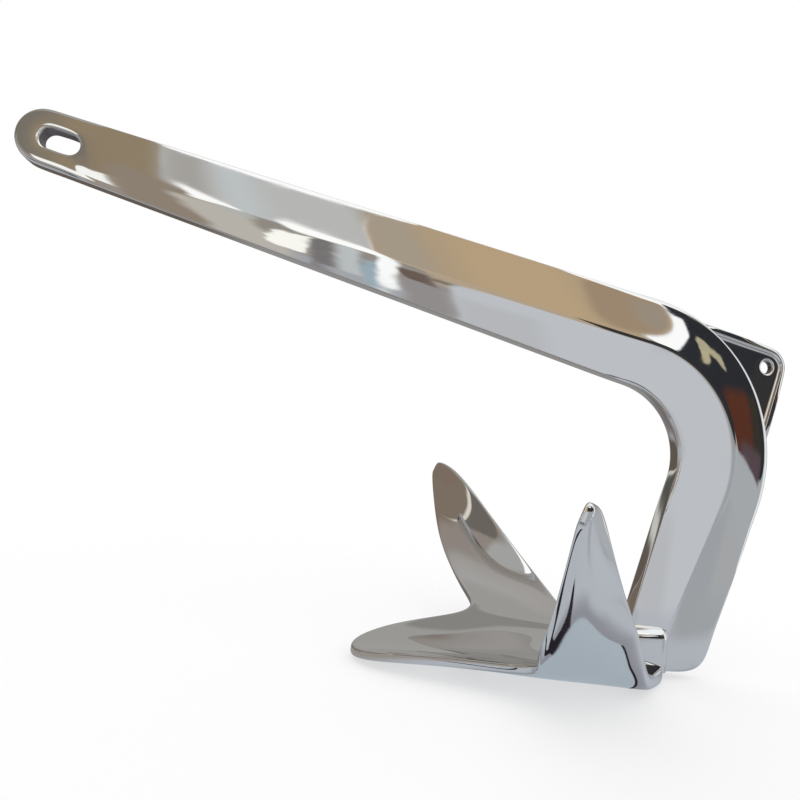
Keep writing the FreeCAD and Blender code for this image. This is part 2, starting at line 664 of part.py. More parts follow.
def make_fluke(doc, sheet):
    """Three-claw fluke: palm and back surfaces that run across from one claw tip to the other."""
    stations = station_values(sheet)
    sweeps = edge_sweeps(stations)
    order = [(i, -1) for i in range(len(stations) - 1, 0, -1)]
    order += [(i, 1) for i in range(len(stations))]
    sections = [blade_section(stations[i], sweeps[i], sign) for i, sign in order]
    across, round_section = clamped_knots(len(sections)), clamped_knots(len(sections[0]))
    skin = Part.BSplineSurface()
    skin.buildFromPolesMultsKnots(
        sections, across[0], round_section[0], across[1], round_section[1], False, False, 3, 3)
    faces = [skin.toShape()]
    tip = stations[-1]["side"]
    for y in (-tip, tip):
        rim = [e for e in faces[0].Edges if all(abs(v.Y - y) < TOLERANCE for v in e.Vertexes)]
        faces.append(Part.Face(Part.Wire(rim)))
    shell = Part.makeShell(faces)
    shell.sewShape()
    fluke = doc.addObject("Part::Feature", "fluke")
    fluke.Shape = Part.makeSolid(shell)
    return fluke


def check(doc):
    """Stop if any object failed or any solid is not valid."""
    for item in doc.Objects:
        if "Invalid" in item.State or "Error" in item.State:
            raise RuntimeError("%s failed: %s" % (item.Label, item.getStatusString()))
        shape = getattr(item, "Shape", None)
        if shape is not None and item.TypeId.startswith("Part") and (
                shape.isNull() or not shape.isValid()):
            raise RuntimeError("%s has no valid shape" % item.Label)


def main():
    os.makedirs("parts", exist_ok=True)
    doc = FreeCAD.newDocument(DOCUMENT_NAME)
    sheet = make_sheet(doc)
    shank = make_shank(doc)
    boss = make_boss(doc)
    fluke = make_fluke(doc, sheet)
    casting = doc.addObject("Part::MultiFuse", "casting")
    casting.Shapes = [shank, boss, fluke]
    casting.Refine = False
    casting.Label = NODE
    doc.recompute()
    box = casting.Shape.optimalBoundingBox()
    casting.Placement = FreeCAD.Placement(
        V(-(box.XMin + box.XMax) / 2, -(box.YMin + box.YMax) / 2, -box.ZMin), FreeCAD.Rotation())
    doc.recompute()
    check(doc)
    casting.Shape.exportStep("parts/%s.step" % NODE)
    shape = casting.Shape
    print("solids %d, volume %.1f cm3, origin moved by %s, box %s" % (
        len(shape.Solids), shape.Volume / 1000, casting.Placement.Base,
        shape.optimalBoundingBox()))


main()
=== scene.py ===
"""Claw anchor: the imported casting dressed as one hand-polished stainless piece in a pale studio.

The casting is laid out in millimetres and degrees in its own frame, X from the shackle eye to the bend,
Z up from the underside of the fluke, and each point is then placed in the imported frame. A point of the
side view is its x and z.
"""
import math

import bmesh
import bpy
from mathutils import Euler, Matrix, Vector


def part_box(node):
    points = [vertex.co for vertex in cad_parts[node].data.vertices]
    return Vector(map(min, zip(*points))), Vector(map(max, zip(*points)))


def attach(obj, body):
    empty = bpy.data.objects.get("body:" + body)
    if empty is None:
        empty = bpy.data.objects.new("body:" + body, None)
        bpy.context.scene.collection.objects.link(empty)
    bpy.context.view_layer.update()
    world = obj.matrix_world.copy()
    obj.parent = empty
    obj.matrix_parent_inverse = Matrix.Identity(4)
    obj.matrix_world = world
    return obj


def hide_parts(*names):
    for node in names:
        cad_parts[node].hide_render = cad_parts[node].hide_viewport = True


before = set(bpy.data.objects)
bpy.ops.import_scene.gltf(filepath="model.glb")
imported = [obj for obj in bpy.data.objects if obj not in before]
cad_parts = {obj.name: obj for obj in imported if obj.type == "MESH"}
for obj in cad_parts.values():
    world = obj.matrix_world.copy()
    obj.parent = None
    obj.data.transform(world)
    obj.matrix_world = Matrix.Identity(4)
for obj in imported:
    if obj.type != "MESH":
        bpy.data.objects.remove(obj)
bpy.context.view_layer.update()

# Shank and leg, seen from the side
EYE = Vector((-464.5, 330.6))
EYE_RADIUS = 19.0
OUTER_BEND = Vector((-40.0, 164.3))
OUTER_RADIUS = 116.4
INNER_BEND = OUTER_BEND + Vector((-11.0, -3.8))
INNER_RADIUS = 54.0
LEG_LEAN = 16.4
THROAT_LEAN = 13.5
FOOT_CLEARANCE = 7.8
FOOT_RADIUS = 15.0
# Ridge along each side face
RIDGE_BEND = OUTER_BEND + Vector((3.0, -1.3))
RIDGE_RADIUS = 83.0
RIDGE_PASS = 7.8
RIDGE_LEAN = 21.0
RIDGE_START = EYE.x + 50.0
RIDGE_TIP = EYE + Vector((25.0, -22.6))
RIM_HALF = 6.75
EYE_HALF = 7.25
RIDGE_HALF = 11.0
RIM_ROUND = 2.5
CROWN = 0.35
CROWN_WIDTH = 18.0                      # a narrower facet is flatter
RIDGE_SOFT = 0.15                       # crease of the ridge by the eye
RIDGE_GAIN = 0.1                        # how much the crease grows from row to row
RIDGE_SHARP = 0.5                       # its most
# Rows of the shank's cage, each of seven points with the ridge in the middle: shares of the straight run,
# of the leg and of the foot's height, and steps round the curves
STRAIGHT_SHARES = (0.07, 0.115, 0.17, 0.25, 0.36, 0.48, 0.62, 0.76, 0.9, 0.98)
LEG_SHARES = (0.12, 0.35, 0.6, 0.85)
FOOT_SHARE = 0.6
FOOT_STEP = 37.0
EYE_STEPS = 10
BEND_STEPS = 10
ROW_POINTS = 7
RIDGE_PLACE = 3
# Shackle slot
SLOT_SLOPE = -10.9
SLOT_SHIFT = 10.3
SLOT_LENGTH = 26.0
SLOT_WIDTH = 13.4
SLOT_ROUND = 1.5
SLOT_RIGHT_STEP = 30
SLOT_LEFT_STEP = 18
# Trip-line ear
EAR_CLEARANCE = 17.9
EAR_TURN = 34.1
EAR_RADIUS = 16.2
EAR_SLOPE = 11.4
EAR_LEAN = 12.7
EAR_ROOT = 37.0
EAR_HALF = 5.0
EAR_RIM = 4.5
EAR_STEP = 1.2
EAR_RECESS = 1.5
EAR_ROUND = 3.8
HOLE_RADIUS = 4.7
HOLE_ROUND = 1.5
HOLE_POINTS = 16
CORNER_STEPS = 4
# Boss that carries the foot, as its side view
BOSS = ((-65.0, 6.0), (5.0, 8.0), (5.0, 39.5), (-36.0, 39.5))
BOSS_HALF = 16.0
BOSS_ROUND = 8.0
# Fluke stations, from the plane of symmetry to the claw tip: half width; front edge x and z;
# rear edge x and z; thickness at the front and rear rims; extra thickness between them; hollow
STATIONS = (
    (0.0, -227.5, 6.5, 3.0, 7.0, 7.0, 13.0, -15.0, 0.0),
    (20.0, -219.0, 9.0, -0.5, 8.0, 7.0, 13.0, -15.5, 0.0),
    (36.0, -193.5, 14.5, -16.5, 9.0, 6.5, 12.0, -15.0, 0.5),
    (49.0, -160.0, 18.0, -27.0, 11.5, 6.5, 11.0, -12.0, 1.0),
    (61.0, -134.0, 20.0, -36.0, 17.5, 6.5, 10.5, -6.5, 2.0),
    (71.0, -122.0, 23.0, -44.0, 27.0, 7.0, 10.0, 3.5, 3.0),
    (82.0, -120.0, 27.5, -52.0, 38.0, 7.0, 9.0, 11.0, 4.5),
    (97.0, -126.0, 35.5, -64.0, 53.5, 6.5, 8.0, 16.0, 6.0),
    (119.0, -133.0, 49.5, -88.5, 84.5, 6.0, 7.5, 16.5, 7.0),
    (146.0, -138.5, 71.0, -114.5, 118.5, 5.0, 7.0, 15.0, 6.0),
    (166.0, -141.5, 101.0, -129.0, 134.0, 5.0, 6.5, 10.0, 3.0),
    (177.0, -143.0, 121.5, -138.0, 137.0, 4.5, 6.0, 8.0, 1.0),
    (178.5, -142.5, 127.0, -138.0, 133.5, 4.0, 5.0, 7.5, 0.0),
)
RIM_POLES = ((0.0, 0.0), (0.05, 0.8), (0.6, 1.0))   # share of the rim's length, share of its fullness
INNER_POLES = (0.2, 0.5, 0.8)                       # share of the way from rim to rim
RIM_LIMIT = 0.42                                    # longest rim, as a share of the chord
FULL_LIMIT = 0.7                                    # thickest blade, as a share of the chord

SUBDIVISIONS = 3
EAR_SUBDIVISIONS = 2
RIM_SEGMENTS = 3
OPENING_SEGMENTS = 2
BOSS_SEGMENTS = 6
MERGE_DISTANCE = 0.01
SHARP_ANGLE = 40.0                      # where the united surface turns more, it is shaded as an edge
MM = 0.001

SLOT_CENTRE = EYE + SLOT_SHIFT * Vector((
    math.cos(math.radians(SLOT_SLOPE)), math.sin(math.radians(SLOT_SLOPE))))
EAR = OUTER_BEND + (OUTER_RADIUS + EAR_CLEARANCE) * Vector((
    math.cos(math.radians(EAR_TURN)), math.sin(math.radians(EAR_TURN))))

# Way from the casting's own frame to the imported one, where the eye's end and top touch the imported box
low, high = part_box("anchor")
SHIFT = Vector((low.x / MM - EYE.x + EYE_RADIUS, 0.0, high.z / MM - EYE.y - EYE_RADIUS))


def spot(flat, y=0.0):
    """Scene point for a side-view point of the casting and its distance from the plane of symmetry."""
    return (Vector((flat.x, y, flat.y)) + SHIFT) * MM


def around(centre, radius, angle):
    """Side-view point on a circle, its angle in degrees."""
    return centre + radius * Vector((math.cos(math.radians(angle)), math.sin(math.radians(angle))))


def swell(step):
    """Growth that makes up for what subdivision takes off a circle drawn with this step in degrees."""
    return 3 / (2 + math.cos(math.radians(step)))


def touching_turn(first, first_radius, second, second_radius):
    """Direction, in degrees, from two centres to the straight line that touches both circles."""
    apart = second - first
    return math.degrees(
        math.atan2(apart.y, apart.x) - math.acos((first_radius - second_radius) / apart.length))


def along(start, end, shares):
    """Points at these shares of the way from start to end."""
    return [start.lerp(end, share) for share in shares]


def mix(first, second, share):
    """Number at this share of the way from the first to the second."""
    return first + (second - first) * share


def chain_edges(bm, chain, closed=False):
    """Edges that join the vertices of a chain, in order."""
    following = chain[1:] + chain[:1] if closed else chain[1:]
    return [bm.edges.get(pair) for pair in zip(chain, following)]


def extrude_chain(bm, chain, places, closed=False):
    """Extrude a chain of vertices and put the copy at the given places; return the copy in order."""
    made = bmesh.ops.extrude_edge_only(bm, edges=chain_edges(bm, chain, closed))["geom"]
    fresh = {item for item in made if isinstance(item, bmesh.types.BMVert)}
    copy = []
    for vert, place in zip(chain, places):
        twin = next(edge.other_vert(vert) for edge in vert.link_edges if edge.other_vert(vert) in fresh)
        twin.co = place
        copy.append(twin)
    return copy


def extrude_to_middle(bm, loop):
    """Extrude a closed loop straight to the plane of symmetry."""
    extrude_chain(bm, loop, [Vector((vert.co.x, 0, vert.co.z)) for vert in loop], closed=True)


def start_loop(bm, places):
    """Closed loop of vertices at the given places."""
    verts = bmesh.ops.create_circle(bm, segments=len(places), radius=1.0)["verts"]
    for vert, place in zip(verts, places):
        vert.co = place
    return list(verts)


def round_edges(bm, edges, radius, segments):
    """Round edges by a radius in millimetres."""
    bmesh.ops.bevel(bm, geom=edges, offset=radius * MM, offset_type="OFFSET", segments=segments,
                    profile=0.5, affect="EDGES", material=-1)


def mirror_across(bm):
    """Complete a shape that stops at the plane of symmetry with its mirror image."""
    bmesh.ops.mirror(bm, geom=bm.verts[:] + bm.edges[:] + bm.faces[:],
                     merge_dist=MERGE_DISTANCE * MM, axis="Y")
    bmesh.ops.recalc_face_normals(bm, faces=bm.faces)


def finish_mesh(bm, name, levels=SUBDIVISIONS):
    """Turn a cage into a subdivided mesh object."""
    mesh = bpy.data.meshes.new(name)
    bm.to_mesh(mesh)
    bm.free()
    piece = bpy.data.objects.new(name, mesh)
    bpy.context.scene.collection.objects.link(piece)
    if levels:
        smooth = piece.modifiers.new("smooth", "SUBSURF")
        smooth.levels = smooth.render_levels = levels
    return piece


# Shank

UPPER_TURN = touching_turn(OUTER_BEND, OUTER_RADIUS, EYE, EYE_RADIUS)
LOWER_TURN = touching_turn(INNER_BEND, INNER_RADIUS, EYE, -EYE_RADIUS)


def slot_places():
    """Twenty points round the shackle slot, anticlockwise from the bottom of its right end."""
    direction = around(Vector((0, 0)), 1.0, SLOT_SLOPE)
    reach = (SLOT_LENGTH - SLOT_WIDTH) / 2
    right, left = SLOT_CENTRE + direction * reach, SLOT_CENTRE - direction * reach
    radius = SLOT_WIDTH / 2
    down, up = SLOT_SLOPE - 90, SLOT_SLOPE + 90
    points = []
    for end, start, stop, step in ((right, down, up, SLOT_RIGHT_STEP), (left, up, down, SLOT_LEFT_STEP)):
        points += [around(end, radius * swell(step), start + step * i) for i in range(180 // step + 1)]
        points.append(around(SLOT_CENTRE, radius * swell(SLOT_RIGHT_STEP), stop))
    return points


def side_lines():
    """Outer edge, ridge and inner edge of the shank as rows of matching side-view points."""

    def bend(centre, radius, start, end):
        """Points round an arc from one turn to another."""
        step = (start - end) / BEND_STEPS
        return [around(centre, radius * swell(step), mix(start, end, i / BEND_STEPS))
                for i in range(BEND_STEPS + 1)]

    def line_end(centre, radius, turn, height):
        """Where the straight edge that leaves an arc at this turn comes down to a height."""
        normal = around(Vector((0, 0)), 1.0, turn)
        return Vector(((centre.dot(normal) + radius - normal.y * height) / normal.x, height))

    toe = line_end(OUTER_BEND, OUTER_RADIUS - FOOT_RADIUS, -LEG_LEAN, FOOT_CLEARANCE + FOOT_RADIUS)
    toe_start = around(toe, FOOT_RADIUS, -LEG_LEAN)
    foot_heights = (toe_start.y, mix(toe_start.y, FOOT_CLEARANCE, FOOT_SHARE), FOOT_CLEARANCE)

    def down_leg(centre, radius, turn):
        """Points down the straight edge that leaves an arc at this turn, to the underside of the foot."""
        end = line_end(centre, radius, turn, toe_start.y)
        points = along(around(centre, radius, turn), end, LEG_SHARES)
        return points + [line_end(centre, radius, turn, height) for height in foot_heights]

    outer = along(around(EYE, EYE_RADIUS, UPPER_TURN), around(OUTER_BEND, OUTER_RADIUS, UPPER_TURN),
                  STRAIGHT_SHARES)
    outer += bend(OUTER_BEND, OUTER_RADIUS, UPPER_TURN, -LEG_LEAN)
    outer += along(around(OUTER_BEND, OUTER_RADIUS, -LEG_LEAN), toe_start, LEG_SHARES)
    outer += [around(toe, FOOT_RADIUS * swell(FOOT_STEP), turn)
              for turn in (-LEG_LEAN, FOOT_STEP - 90, -90)]

    inner = along(around(EYE, EYE_RADIUS, LOWER_TURN + 180), around(INNER_BEND, INNER_RADIUS, LOWER_TURN),
                  STRAIGHT_SHARES)
    inner += bend(INNER_BEND, INNER_RADIUS, LOWER_TURN, -THROAT_LEAN)
    inner += down_leg(INNER_BEND, INNER_RADIUS, -THROAT_LEAN)

    ridge_turn = touching_turn(RIDGE_BEND, RIDGE_RADIUS, EYE, -RIDGE_PASS)
    bend_start = around(RIDGE_BEND, RIDGE_RADIUS, ridge_turn)
    rise = math.tan(math.radians(90 - ridge_turn))
    run_start = Vector((RIDGE_START, bend_start.y + (bend_start.x - RIDGE_START) * rise))
    ridge = []
    for upper, lower in zip(outer[:len(STRAIGHT_SHARES)], inner):
        x = (upper.x + lower.x) / 2
        level = bend_start.y + (bend_start.x - x) * rise
        if x < RIDGE_START:
            level = mix(run_start.y, RIDGE_TIP.y, (RIDGE_START - x) / (RIDGE_START - RIDGE_TIP.x))
        ridge.append(Vector((x, level)))
    ridge += bend(RIDGE_BEND, RIDGE_RADIUS, ridge_turn, -RIDGE_LEAN)
    ridge += down_leg(RIDGE_BEND, RIDGE_RADIUS, -RIDGE_LEAN)
    return outer, ridge, inner


def face_row(outer, ridge, inner, half):
    """Points across the near side face, from the inner edge over the ridge to the outer edge."""
    row = []
    for edge, shares in ((inner, (0, 1 / 3, 2 / 3)), (outer, (1, 2 / 3, 1 / 3, 0))):
        crown = CROWN * min((ridge - edge).length / CROWN_WIDTH, 1.0) ** 2
        for share in shares:
            bulge = crown * 4 * share * (1 - share)
            row.append(spot(edge.lerp(ridge, share), -(mix(RIM_HALF, half, share) + bulge)))
    return row


def make_shank():
    """Slotted eye, shank, bend and leg: the near side face is laid out and mirrored to the far side."""
    outer, ridge, inner = side_lines()
    bm = bmesh.new()
    crease = bm.edges.layers.float.new("crease_edge")
    slot = start_loop(bm, [spot(p, -EYE_HALF) for p in slot_places()])

    top, bottom = UPPER_TURN, LOWER_TURN + 180
    step = (bottom - top) / EYE_STEPS
    eye_edge = [around(EYE, EYE_RADIUS, top).lerp(outer[0], 0.5)]
    eye_edge += [around(EYE, EYE_RADIUS * swell(step), top + step * i) for i in range(EYE_STEPS + 1)]
    eye_edge.append(around(EYE, EYE_RADIUS, bottom).lerp(inner[0], 0.5))

    def half_at(point):
        """Half thickness of the shank at a point of the ridge."""
        share = (point.x - RIDGE_TIP.x) / (OUTER_BEND.x - RIDGE_TIP.x)
        return mix(EYE_HALF, RIDGE_HALF, min(max(share, 0.0), 1.0))

    rows = [face_row(upper, middle, lower, half_at(middle))
            for upper, middle, lower in zip(outer, ridge, inner)]
    rim = extrude_chain(bm, slot, rows[0] + [spot(p, -EYE_HALF) for p in eye_edge], closed=True)
    chain = rim[:ROW_POINTS]
    edge_down, edge_up = [chain[0]], [chain[-1]]
    for index, row in enumerate(rows[1:]):
        fresh = extrude_chain(bm, chain, row)
        ridge_edge = bm.edges.get((chain[RIDGE_PLACE], fresh[RIDGE_PLACE]))
        ridge_edge[crease] = min(RIDGE_SOFT + RIDGE_GAIN * index, RIDGE_SHARP)
        chain = fresh
        edge_down.append(chain[0])
        edge_up.append(chain[-1])
    outline = edge_down + chain[1:-1] + edge_up[::-1] + rim[ROW_POINTS:]

    for loop in (slot, outline):
        extrude_to_middle(bm, loop)
    round_edges(bm, chain_edges(bm, outline, closed=True), RIM_ROUND, RIM_SEGMENTS)
    round_edges(bm, chain_edges(bm, slot, closed=True), SLOT_ROUND, OPENING_SEGMENTS)
    mirror_across(bm)
    return finish_mesh(bm, "shank")


# Trip-line ear

def ear_outline(inset):
    """Sixteen side-view points round the ear, anticlockwise from the top of its corner."""
    upper, rear = 90 - EAR_SLOPE, -EAR_LEAN
    radius = EAR_RADIUS - inset
    top_start = around(EAR, radius, upper)
    fall = math.tan(math.radians(EAR_SLOPE))
    root = OUTER_BEND.x + EAR_ROOT
    root_top = Vector((root, top_start.y + (top_start.x - root) * fall))
    rear_start = around(EAR, radius, rear)
    lean = math.tan(math.radians(EAR_LEAN))
    root_rear = Vector((rear_start.x - (rear_start.y - OUTER_BEND.y) * lean, OUTER_BEND.y))
    step = (upper - rear) / CORNER_STEPS
    points = along(top_start, root_top, (0.25, 0.5, 0.75, 1.0))
    points += along(root_top, root_rear, (0.25, 0.5, 0.75))
    points += along(root_rear, rear_start, (0.0, 0.25, 0.5, 0.75))
    points += [around(EAR, radius * swell(step), rear + step * i) for i in range(CORNER_STEPS + 1)]
    return points


def make_ear():
    """Thin ear outside the bend, with a sunk web on each side and a round hole."""
    bm = bmesh.new()
    web = EAR_HALF - EAR_RECESS
    step = 360 / HOLE_POINTS
    turns = [90 - EAR_SLOPE + step + step * i for i in range(HOLE_POINTS)]
    circle = [around(EAR, HOLE_RADIUS * swell(step), turn) for turn in turns]
    ring = [around(EAR, HOLE_RADIUS + HOLE_ROUND * 2, turn) for turn in turns]
    hole = start_loop(bm, [spot(p, -web) for p in circle])
    chain = hole
    for points, half in ((ring, web), (ear_outline(EAR_RIM + EAR_STEP), web),
                         (ear_outline(EAR_RIM), EAR_HALF), (ear_outline(0.0), EAR_HALF)):
        chain = extrude_chain(bm, chain, [spot(p, -half) for p in points], closed=True)
    for loop in (hole, chain):
        extrude_to_middle(bm, loop)
    round_edges(bm, chain_edges(bm, chain, closed=True), EAR_ROUND, RIM_SEGMENTS)
    round_edges(bm, chain_edges(bm, hole, closed=True), HOLE_ROUND, OPENING_SEGMENTS)
    mirror_across(bm)
    return finish_mesh(bm, "ear", levels=EAR_SUBDIVISIONS)


# Fluke

def blade_ring(index):
    """Section of the fluke at one station: sixteen points from the front edge over the palm and back."""
    side, front_x, front_z, rear_x, rear_z, front_rim, rear_rim, spine, hollow = STATIONS[index]
    front, rear = Vector((front_x, front_z)), Vector((rear_x, rear_z))
    chord = (rear - front).length
    way = (rear - front).normalized()
    palm = Vector((-way.y, way.x))
    inner = STATIONS[max(index - 1, 0)]
    outer = STATIONS[min(index + 1, len(STATIONS) - 1)]
    apart = outer[0] - inner[0]
    sweeps = [0.0 if index == 0 else (outer[k] - inner[k]) / apart for k in (1, 3)]
    front_end, rear_end = (
        min(RIM_LIMIT * chord, rim / 2 * math.hypot(1, sweep))
        for rim, sweep in zip((front_rim, rear_rim), sweeps))
    places = [(front_end * share, fullness) for share, fullness in RIM_POLES]
    places += [(front_end + (chord - front_end - rear_end) * share, 1.0) for share in INNER_POLES]
    places += [(chord - rear_end * share, fullness) for share, fullness in reversed(RIM_POLES)]

    def surface(place, fullness, sign):
        """Point of the upper (1) or under (-1) surface at this length along the chord."""
        share = place / chord
        full = mix(front_rim, rear_rim, share) + spine * share * (1 - share)
        half = min(full, chord * FULL_LIMIT) / 2
        middle = front + way * place - palm * (hollow * 4 * share * (1 - share))
        return spot(middle + palm * (sign * fullness * half), side)

    over = [surface(place, fullness, 1) for place, fullness in places]
    under = [surface(place, fullness, -1) for place, fullness in reversed(places)]
    return over + under[1:-1]


def make_fluke():
    """Three-claw fluke: one ring of the blade is extruded from station to station to a claw's tip."""
    bm = bmesh.new()
    chain = start_loop(bm, blade_ring(0))
    for index in range(1, len(STATIONS)):
        chain = extrude_chain(bm, chain, blade_ring(index), closed=True)
    bmesh.ops.holes_fill(bm, edges=chain_edges(bm, chain, closed=True), sides=0)
    mirror_across(bm)
    return finish_mesh(bm, "fluke")


def make_boss():
    """Boss on the palm that carries the foot of the leg."""
    bm = bmesh.new()
    loop = start_loop(bm, [spot(Vector(p), -BOSS_HALF) for p in BOSS])
    edges = chain_edges(bm, loop, closed=True)
    side = bmesh.ops.holes_fill(bm, edges=edges, sides=0)["faces"]
    made = bmesh.ops.extrude_face_region(bm, geom=side)["geom"]
    far = [item for item in made if isinstance(item, bmesh.types.BMVert)]
    bmesh.ops.translate(bm, verts=far, vec=(0, 2 * BOSS_HALF * MM, 0))
    bmesh.ops.recalc_face_normals(bm, faces=bm.faces)
    # the edges inside the fluke stay sharp
    buried = (spot(Vector(BOSS[0])).z + spot(Vector(BOSS[1])).z) / 2 + MM
    shoulders = [edge for edge in bm.edges if max(vert.co.z for vert in edge.verts) > buried]
    round_edges(bm, shoulders, BOSS_ROUND, BOSS_SEGMENTS)
    return finish_mesh(bm, "boss", levels=0)


def unite(name, first, *others):
    """Unite closed pieces into one closed mesh object."""
    for other in others:
        union = first.modifiers.new("join_" + other.name, "BOOLEAN")
        union.operation = "UNION"
        union.solver = "EXACT"
        union.object = other
    bpy.context.view_layer.update()
    evaluated = first.evaluated_get(bpy.context.evaluated_depsgraph_get())
    mesh = bpy.data.meshes.new_from_object(evaluated)
    mesh.name = name
    for part in (first, *others):
        bpy.data.objects.remove(part)
    piece = bpy.data.objects.new(name, mesh)
    bpy.context.scene.collection.objects.link(piece)
    mesh.shade_smooth()
    mesh.set_sharp_from_angle(angle=math.radians(SHARP_ANGLE))
    return piece


casting = unite("casting", make_shank(), make_ear(), make_boss(), make_fluke())


# Materials

STEEL_TINT = (0.80, 0.79, 0.78)
WALL_SHADE_TINT = (0.17, 0.15, 0.165)         # painted shade on the walls of the slot and the hole
POLISHED, BUFFED, WALL_ROUGHNESS = 0.015, 0.06, 0.3    # roughness
WAVINESS = 0.005
WALL_MARGIN = 0.7                       # how far past a wall's radius its painted shade and roughness reach
WALL_SOFTNESS = 0.4
# Polishing: sizes in metres, noise detail, noise values between which each shows, shares of each
CLOUD_SIZE, MARK_SIZE = 0.022, 0.0009
CLOUD_DETAIL, MARK_DETAIL = 3.0, 4.0
CLOUD_RANGE, MARK_RANGE = (0.3, 0.75), (0.35, 0.75)
CLOUD_SHARE, MARK_SHARE = 0.55, 0.45
MARK_STRETCH = (0.06, 1.0, 1.0)         # long marks along the shank
MARK_HEIGHT = 0.02


class Nodes:
    """Short ways to add nodes to one tree."""

    def __init__(self, tree):
        self.nodes, self.links = tree.nodes, tree.links

    def add(self, kind, **settings):
        """New node with these settings."""
        node = self.nodes.new(kind)
        for name, setting in settings.items():
            setattr(node, name, setting)
        return node

    def feed(self, socket, source):
        """Link a socket to another one, or give it a value."""
        if isinstance(source, bpy.types.NodeSocket):
            self.links.new(source, socket)
        else:
            socket.default_value = source

    def value(self, operation, *inputs):
        """Result of a math node on sockets or numbers."""
        node = self.add("ShaderNodeMath", operation=operation)
        for socket, source in zip(node.inputs, inputs):
            self.feed(socket, source)
        return node.outputs["Value"]

    def smooth_step(self, value, start, end, low=0.0, high=1.0):
        """Smooth way from low to high while the value goes from start to end."""
        node = self.add("ShaderNodeMapRange", interpolation_type="SMOOTHSTEP")
        for name, source in (("Value", value), ("From Min", start), ("From Max", end),
                             ("To Min", low), ("To Max", high)):
            self.feed(node.inputs[name], source)
        return node.outputs["Result"]

    def mixed(self, factor, first, second):
        """Mix two colours; a colour is a socket or three numbers."""
        node = self.add("ShaderNodeMix", data_type="RGBA")
        self.feed(node.inputs["Factor"], factor)
        for name, colour in (("A", first), ("B", second)):
            socket = next(s for s in node.inputs if s.name == name and s.type == "RGBA")
            self.feed(socket, colour if isinstance(colour, bpy.types.NodeSocket) else (*colour, 1.0))
        return next(s for s in node.outputs if s.type == "RGBA")


def new_group(name, inputs, outputs):
    """Node group with the named sockets, its node helper and its two ends."""
    group = bpy.data.node_groups.new(name, "ShaderNodeTree")
    for ends, names in (("INPUT", inputs), ("OUTPUT", outputs)):
        for socket in names:
            kind = "NodeSocketVector" if socket == "Vector" else "NodeSocketFloat"
            group.interface.new_socket(socket, in_out=ends, socket_type=kind)
    tree = Nodes(group)
    return group, tree, tree.add("NodeGroupInput").outputs, tree.add("NodeGroupOutput").inputs


def polish_group():
    """Hand polishing: cloudy buffed patches, fine marks along the shank and a faint waviness."""
    group, tree, given, result = new_group(
        "polish", ("Vector", "Cloud size", "Mark size"), ("Buffing", "Height"))
    clouds = tree.add("ShaderNodeTexNoise")
    tree.feed(clouds.inputs["Vector"], given["Vector"])
    tree.feed(clouds.inputs["Scale"], tree.value("DIVIDE", 1.0, given["Cloud size"]))
    clouds.inputs["Detail"].default_value = CLOUD_DETAIL
    stretch = tree.add("ShaderNodeMapping")
    stretch.inputs["Scale"].default_value = MARK_STRETCH
    tree.feed(stretch.inputs["Vector"], given["Vector"])
    marks = tree.add("ShaderNodeTexNoise")
    tree.feed(marks.inputs["Vector"], stretch.outputs["Vector"])
    tree.feed(marks.inputs["Scale"], tree.value("DIVIDE", 1.0, given["Mark size"]))
    marks.inputs["Detail"].default_value = MARK_DETAIL
    fine = tree.smooth_step(marks.outputs["Fac"], *MARK_RANGE)
    patchy = tree.smooth_step(clouds.outputs["Fac"], *CLOUD_RANGE)
    tree.feed(result["Buffing"], tree.value(
        "ADD", tree.value("MULTIPLY", patchy, CLOUD_SHARE), tree.value("MULTIPLY", fine, MARK_SHARE)))
    tree.feed(result["Height"], tree.value(
        "ADD", clouds.outputs["Fac"], tree.value("MULTIPLY", marks.outputs["Fac"], MARK_HEIGHT)))
    return group


def recess_group():
    """Mask of the wall of a slot or hole whose length runs along X and whose axis is Y."""
    group, tree, given, result = new_group(
        "recess", ("Vector", "Half length", "Radius", "Depth", "Softness"), ("Mask",))
    part = tree.add("ShaderNodeSeparateXYZ")
    tree.feed(part.inputs["Vector"], given["Vector"])
    past = tree.value("MAXIMUM", tree.value(
        "SUBTRACT", tree.value("ABSOLUTE", part.outputs["X"]), given["Half length"]), 0.0)
    squares = [tree.value("MULTIPLY", length, length) for length in (past, part.outputs["Z"])]
    away = tree.value("SQRT", tree.value("ADD", *squares))
    depth = tree.value("ABSOLUTE", part.outputs["Y"])
    masks = []
    for reach, limit in ((away, given["Radius"]), (depth, given["Depth"])):
        ends = [tree.value(sign, limit, given["Softness"]) for sign in ("ADD", "SUBTRACT")]
        masks.append(tree.smooth_step(reach, *ends))
    tree.feed(result["Mask"], tree.value("MULTIPLY", *masks))
    return group


